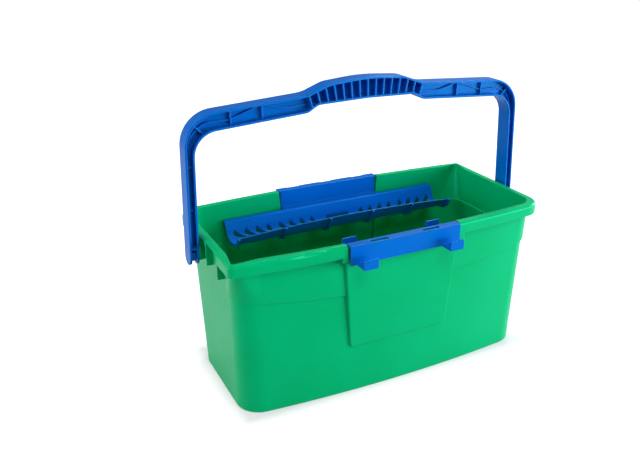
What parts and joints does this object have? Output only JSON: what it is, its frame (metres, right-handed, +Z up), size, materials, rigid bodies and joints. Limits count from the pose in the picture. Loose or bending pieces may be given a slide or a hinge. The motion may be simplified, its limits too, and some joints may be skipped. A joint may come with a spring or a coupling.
{
  "type": "window cleaning bucket",
  "caption": "Oblong moulded bucket for window cleaning, with a swinging bail handle, a clip-on tool holder on the front rim and a slotted draining sieve hung inside the rear rim.",
  "frame": {"origin": "middle of the flat base, on the ground", "axes": "+X along the bucket's length, +Y to the rear where the sieve hangs, +Z up"},
  "size_m": [0.54, 0.2775, 0.4333],
  "materials": {
    "green_plastic": "satin moulded polypropylene",
    "blue_plastic": "satin moulded polypropylene"
  },
  "bodies": {
    "body": {"bucket": "green_plastic"},
    "bail": {"bail_handle": "blue_plastic"},
    "clip": {"tool_clip": "blue_plastic"},
    "sieve": {"hanging_sieve": "blue_plastic"}
  },
  "joints": [
    {"name": "bail_swing", "type": "hinge", "parent": "body", "child": "bail", "pos_m": [0, 0, 0.214], "axis": [1, 0, 0], "range_deg": [-132, 132]},
    {"name": "clip_lift", "type": "slide", "parent": "body", "child": "clip", "axis": [0, 0, 1], "range_m": [0, 0.05]},
    {"name": "sieve_lift", "type": "slide", "parent": "body", "child": "sieve", "axis": [0, 0, 1], "range_m": [0, 0.1]}
  ]
}
